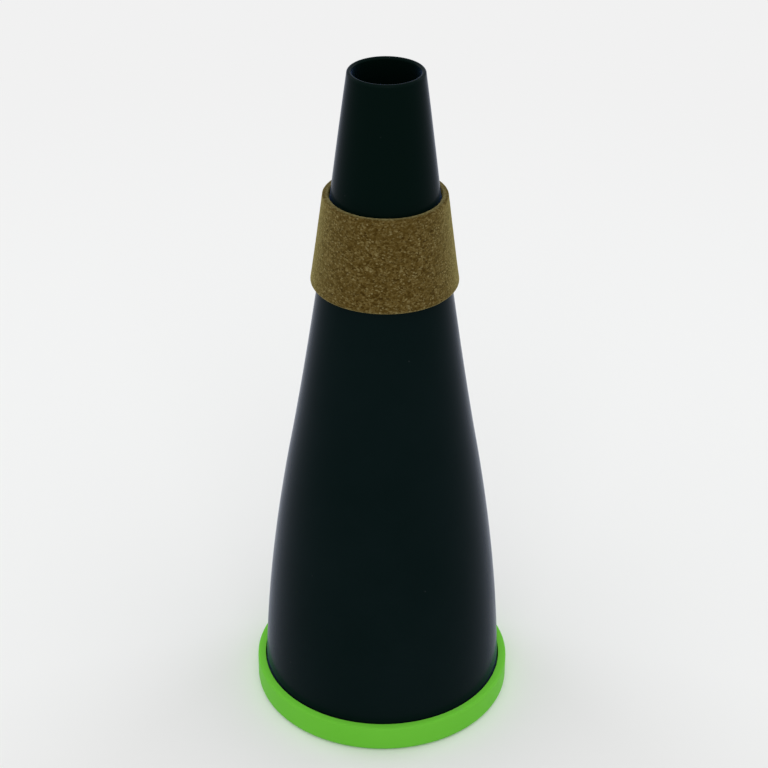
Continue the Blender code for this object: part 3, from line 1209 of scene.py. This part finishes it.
@dataclass(frozen=True)
class HoledDisc:
    """A disc with a bore and a ring of holes.

    Each hole has a sector of the disc to itself. Round the hole, the surface is a chain of
    points that runs from the sector's border along the underside, up the hole's wall and back
    along the top, and it is repeated in each direction from the hole's middle. The disc's rim
    and bore are closed by rings of their own.
    """

    place: Envelope
    bore: float
    holes: int
    hole_radius: float
    pitch: float
    edge: float = 0.0002
    directions: int = 48
    plate_steps: int = 6
    edge_chords: int = 4
    angle_digits: int = 9
    least_rate: float = 1e-12
    same_place: float = 1e-7
    weld_distance: float = 0.000002

    def borders(self) -> tuple[tuple[float, int], tuple[float, int]]:
        """Where the flat faces end: the radius and the outward side of the rim and the bore."""
        return (self.place.radius - self.edge, 1), (self.bore + self.edge, -1)

    def corner_angles(self) -> Array:
        """Directions from the hole's middle to the four corners of its sector, in radians.

        Each is the arc tangent of the corner's distance from the sector's middle line over its
        distance past the hole's middle along that line.

        Returns:
            The four directions.
        """
        half = math.pi / self.holes
        radii = np.array([radius for radius, _ in self.borders()])
        above = np.arctan2(radii * math.sin(half), radii * math.cos(half) - self.pitch)
        return np.concatenate([above, -above])

    def reach(self, angles: Array) -> Array:
        """Distance from the hole's middle to the sector's border in each direction.

        It is the nearest of the crossings with the inner circle, the outer circle and the two
        straight sides of the sector.

        Args:
            angles: Directions, in radians.

        Returns:
            The distance in each direction.
        """
        east, north = np.cos(angles), np.sin(angles)
        along = self.pitch * east
        crossings = []
        for radius, side in self.borders():
            inside = along ** 2 - self.pitch ** 2 + radius ** 2
            root = -along + side * np.sqrt(np.maximum(inside, 0))
            crossings.append(np.where((inside >= 0) & (root > 0), root, np.inf))
        half = math.pi / self.holes
        rate = np.abs(north) * math.cos(half) - east * math.sin(half)
        nears = rate > self.least_rate
        straight = self.pitch * math.sin(half) / np.where(nears, rate, 1.0)
        crossings.append(np.where(nears, straight, np.inf))
        return np.min(crossings, axis=0)

    def wall(self, centre: float, side: int) -> Array:
        """A wall with two round edges, from the underside to the top.

        Args:
            centre: Radius of the middles of its round edges.
            side: 1 if the wall stands outside of them, or -1 if it stands inside.

        Returns:
            Rows of (radius, height).
        """
        foot, top = self.place.foot + self.edge, self.place.top - self.edge
        low = arc((centre, foot), self.edge, -90, 90 * side - 90, self.edge_chords)
        high = arc((centre, top), self.edge, 90 - 90 * side, 90, self.edge_chords)
        return np.concatenate([low, high])

    def sector(self) -> Array:
        """The surface around one hole.

        Returns:
            A grid of (place on the chain, direction, xyz).
        """
        even = np.linspace(-math.pi, math.pi, self.directions, endpoint=False)
        angles = np.concatenate([even, self.corner_angles()])
        angles = np.unique(np.round(angles, self.angle_digits))
        rim = self.hole_radius + self.edge
        out = np.linspace(1, 0, self.plate_steps, endpoint=False)[:, None]
        lower = rim + out * (self.reach(angles) - rim)
        radii, levels = self.wall(rim, -1).T
        spans = np.concatenate([lower, radii[:, None] * np.ones(len(angles)), lower[::-1]])
        heights = np.concatenate([np.full(self.plate_steps, self.place.foot), levels,
                                  np.full(self.plate_steps, self.place.top)])
        x = self.pitch + spans * np.cos(angles)
        y = spans * np.sin(angles)
        return np.stack([x, y, np.broadcast_to(heights[:, None], x.shape)], axis=2)

    def build(self, name: str) -> bpy.types.Object:
        """Build the disc: its sectors, its rim and its bore, welded into one closed surface.

        Args:
            name: Name of the object.

        Returns:
            The finished object.
        """
        sector = self.sector()
        distance = np.hypot(sector[0, :, 0], sector[0, :, 1])
        turns = np.arctan2(sector[0, :, 1], sector[0, :, 0])
        grids = []
        wholes = np.arange(self.holes) * 2 * math.pi / self.holes
        for whole in wholes:
            spun = np.array([[math.cos(whole), -math.sin(whole), 0],
                             [math.sin(whole), math.cos(whole), 0], [0, 0, 1]])
            grids.append(Grid(sector @ spun.T, False, True))
        for radius, side in self.borders():
            on_it = np.sort(turns[np.abs(distance - radius) < self.same_place])
            all_turns = (wholes[:, None] + on_it[:-1]).ravel()
            grids.append(Grid(carried_round(self.wall(radius, side), all_turns), True, False))
        piece = new_object(name, grids)
        weld(piece, self.weld_distance)
        return piece


@dataclass(frozen=True)
class Silencer:
    """The stack that stands on the cap: two holed baffles, the spacer and three foam rings."""

    spacer: Envelope = Envelope.of("spacer_tube")
    spacer_edge: float = 0.00015
    spacer_step: float = 0.002
    lower_holes: int = 8
    upper_holes: int = 6
    hole_radius: float = 0.003
    foam_edge: float = 0.0007
    foam_step: float = 0.00041
    foam_relief: float = 0.00035
    pore: float = 0.0012
    pore_width: float = 1.6
    pore_seed: int = 41
    swell: float = 5 * pore
    swell_share: float = 0.4
    swell_seed: int = 57

    def build_baffle(self, name: str, node: str, holes: int, finishes: Finishes) -> None:
        """Build and dress a holed baffle, with its holes midway between spacer and rim.

        Args:
            name: Name of the object.
            node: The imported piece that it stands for.
            holes: Number of its holes.
            finishes: The material of each slot.
        """
        place = Envelope.of(node)
        pitch = (self.spacer.radius + place.radius) / 2
        disc = HoledDisc(place, Vent.hole, holes, self.hole_radius, pitch)
        settle(disc.build(name), node, Slot.INNER_PLASTIC, Body.BASE, finishes)

    def foam_surface(self, points: Array) -> Array:
        """Relief of cut foam: pits that deepen towards each pore's middle, on a slow swell.

        Args:
            points: Places on the foam, xyz last.

        Returns:
            How far each point moves outwards, which is never above nought.
        """
        distance = cell_distance(points, self.pore, self.pore_seed)
        swell = soft_noise(points, self.swell, self.swell_seed)
        pits = np.clip(1 - self.pore_width * distance, 0, 1)
        return -self.foam_relief * (pits + self.swell_share * swell)

    def build_foam(self, name: str, node: str, core: float, finishes: Finishes) -> None:
        """Build and dress a foam ring.

        Args:
            name: Name of the object.
            node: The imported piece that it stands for.
            core: Radius of the piece that it stands round.
            finishes: The material of each slot.
        """
        place = Envelope.of(node)
        outline = place.ring(core + CLEARANCE, self.foam_edge, self.foam_step)
        steps = round(2 * math.pi * place.radius / self.foam_step)
        foam = turned_piece(name, outline, steps, self.foam_surface)
        settle(foam, node, Slot.GREY_FOAM, Body.BASE, finishes)

    def build(self, finishes: Finishes) -> None:
        """Build and dress the stack, from the cap up.

        Args:
            finishes: The material of each slot.
        """
        self.build_foam("cap_foam_ring", "cap_foam", Vent.bush.radius, finishes)
        self.build_baffle("lower_plate", "lower_baffle", self.lower_holes, finishes)
        outline = self.spacer.ring(Vent.hole, self.spacer_edge, self.spacer_step)
        spacer = turned_piece("spacer_pipe", outline, NARROW_TURN)
        settle(spacer, "spacer_tube", Slot.INNER_PLASTIC, Body.BASE, finishes)
        self.build_foam("middle_foam_ring", "middle_foam", self.spacer.radius, finishes)
        self.build_baffle("upper_plate", "upper_baffle", self.upper_holes, finishes)
        self.build_foam("upper_foam_ring", "upper_foam", Vent.collar.radius, finishes)


def build_finishes(cone: Cone) -> Finishes:
    """Build the shared effects and, on them, every finish.

    Args:
        cone: The cone and its sleeve, whose places the black and the cork follow.

    Returns:
        The material of each slot.
    """
    build_grain()
    build_handling()
    build_wear()
    finishes = {
        Slot.BLACK_PLASTIC: SatinBlack((cone.cork.foot, cone.cork.top), cone.shell.top),
        Slot.CORK: Agglomerate(cone.cork.foot, cone.cork.top, cone.cork_bore(cone.cork.top)),
        Slot.GREEN_PLASTIC: MouldedPlastic(
            "leaf_green", colour=(0.134, 0.500, 0.035), drifted=(0.142, 0.512, 0.039),
            rubbed=(0.20, 0.56, 0.09), roughness=(0.46, 0.54), specular=0.06,
            # rim: painted light on the cap rim's top face, lifting the shade that the cone casts
            # there
            dust=(0.24, 0.52, 0.14), dust_share=0.03, rim=(0.180, 0.665, 0.050),
            rim_height=BaseCap.rim_height, rim_light_radius=cone.shell.radius),
        Slot.INNER_PLASTIC: MouldedPlastic(
            "inner_black", colour=(0.018, 0.019, 0.021), drifted=(0.022, 0.023, 0.026),
            rubbed=(0.05, 0.05, 0.055), roughness=(0.45, 0.6), specular=0.4),
        Slot.BLACK_RUBBER: MattRubber(),
        Slot.NATURAL_PLASTIC: DrawnTube(),
        Slot.GREY_FOAM: OpenFoam(),
    }
    return {slot: finish.material() for slot, finish in finishes.items()}


@dataclass(frozen=True)
class SoftBox:
    """A rectangular soft lamp that faces a point."""

    name: str
    place: Place
    width: float
    height: float
    power: float
    colour: Colour = (1.0, 1.0, 1.0)
    aim: Place = (0.0, 0.0, 0.09)

    def build(self) -> None:
        """Add the lamp to the scene."""
        lamp = bpy.data.lights.new(self.name, "AREA")
        lamp.shape = "RECTANGLE"
        lamp.size = self.width
        lamp.size_y = self.height
        lamp.energy = self.power
        lamp.color = self.colour
        holder = bpy.data.objects.new(self.name, lamp)
        holder.location = self.place
        facing = Vector(self.aim) - Vector(self.place)
        holder.rotation_euler = facing.to_track_quat("-Z", "Y").to_euler()
        holder.visible_camera = False
        bpy.context.scene.collection.objects.link(holder)
        REPORT.info("%s: soft lamp of %.1f W", self.name, self.power)


@dataclass(frozen=True)
class Studio:
    """The pale floor, the soft lamps, the surroundings and the camera of the photograph.

    The floor keeps the mute's shadow near the mute and fades into the backdrop further out. It
    is open under the mute, where the cap hides it, so that light reaches the mute's underside,
    and a small round plate closes it again under the vent.
    """

    floor_reach: float = 3.0
    floor_opening: float = 0.0355
    vent_plate: float = 0.004
    floor_colour: Colour = (0.90, 0.90, 0.89)
    fade: Pair = (0.15, 0.50)
    backdrop: Colour = (0.88, 0.88, 0.88)
    ambient: Colour = (1.0, 1.0, 1.0)
    ambient_strength: float = 0.8
    lamps: tuple[SoftBox, ...] = (
        SoftBox("front_softbox", (0.0, -1.1, 0.8), 0.9, 0.9, 3.0),
        SoftBox("left_softbox", (-1.15, 0.80, 0.75), 0.8, 1.0, 4.0, (0.88, 0.94, 1.0)),
        SoftBox("right_softbox", (1.15, 0.80, 0.75), 0.8, 1.0, 4.0, (0.88, 0.94, 1.0)),
    )
    camera_place: Place = (0.0, -0.47932, 0.38623)
    camera_pitch: float = 30.811
    camera_roll: float = 0.44
    sensor_width: float = 36.0
    lens: float = 94.4

    def build_camera(self) -> None:
        """Add the camera: it looks along +Y and down, and leans a little."""
        data = bpy.data.cameras.new("photo_camera")
        data.sensor_width = self.sensor_width
        data.lens = self.lens
        camera = bpy.data.objects.new("photo_camera", data)
        turn = Matrix.Rotation(math.radians(90 - self.camera_pitch), 4, "X")
        roll = Matrix.Rotation(math.radians(self.camera_roll), 4, "Z")
        camera.matrix_world = Matrix.Translation(self.camera_place) @ turn @ roll
        bpy.context.scene.collection.objects.link(camera)
        bpy.context.scene.camera = camera

    @staticmethod
    def shown(canvas: Canvas) -> Socket:
        """Pick out the rays that see the backdrop and are not lit by it.

        Args:
            canvas: The nodes of the floor or the world.

        Returns:
            1 for camera, glossy and transmission rays and 0 for others.
        """
        path = canvas.add("LightPath").outputs
        seen = canvas.calc("MAXIMUM", path["Is Camera Ray"], path["Is Glossy Ray"])
        return canvas.calc("MAXIMUM", seen, path["Is Transmission Ray"])

    def floor_material(self) -> Material:
        """The floor's finish: matt nearby, the backdrop's glow further out, clear from below.

        Returns:
            The material.
        """
        material = bpy.data.materials.new("pale_floor")
        material.use_nodes = True
        canvas = Canvas(material.node_tree)
        matt = canvas.add("BsdfDiffuse", {"Color": self.floor_colour}).outputs[0]
        glow = canvas.add("Emission", {"Color": self.backdrop}).outputs[0]
        clear = canvas.add("BsdfTransparent").outputs[0]
        away = {0: canvas.radius(canvas.point()), 1: self.fade[0], 2: self.fade[1]}
        fade = canvas.add("MapRange", away, interpolation_type="SMOOTHSTEP").outputs[0]
        faded = canvas.either(canvas.times(fade, self.shown(canvas)), matt, glow)
        behind = canvas.add("NewGeometry").outputs["Backfacing"]
        canvas.add("OutputMaterial", {"Surface": canvas.either(behind, faded, clear)})
        return material

    def build_floor(self) -> None:
        """Add the floor and the plate under the vent, as flat rings round the axis."""
        rings = ((self.floor_reach, self.floor_opening), (self.vent_plate, 0.0))
        turns = whole_turn(WIDE_TURN)
        grids = [Grid(carried_round(rows(np.array(ring), 0.0), turns), True, False)
                 for ring in rings]
        floor = new_object("floor", grids)
        floor.data.materials.append(self.floor_material())

    def build_world(self) -> None:
        """Surround the mute with soft light, and with a pale backdrop where it is seen."""
        world = bpy.data.worlds.new("surroundings")
        world.use_nodes = True
        bpy.context.scene.world = world
        canvas = Canvas(world.node_tree)
        light = canvas.add("Background", {"Color": self.ambient, "Strength": self.ambient_strength})
        pale = canvas.add("Background", {"Color": self.backdrop, "Strength": 1.0})
        mixed = canvas.either(self.shown(canvas), light.outputs[0], pale.outputs[0])
        canvas.add("OutputWorld", {"Surface": mixed})

    def build(self) -> None:
        """Build the whole studio."""
        self.build_camera()
        self.build_floor()
        self.build_world()
        for lamp in self.lamps:
            lamp.build()
        bpy.context.scene.view_settings.view_transform = "Standard"


def main() -> None:
    """Build the studio and every sub-assembly."""
    logging.basicConfig(level=logging.INFO, format="%(name)s: %(message)s")
    Studio().build()
    cone = Cone()
    finishes = build_finishes(cone)
    for assembly in (cone, BaseCap(), Vent(), Silencer()):
        assembly.build(finishes)
    bpy.context.view_layer.update()


if __name__ == "__main__":
    main()
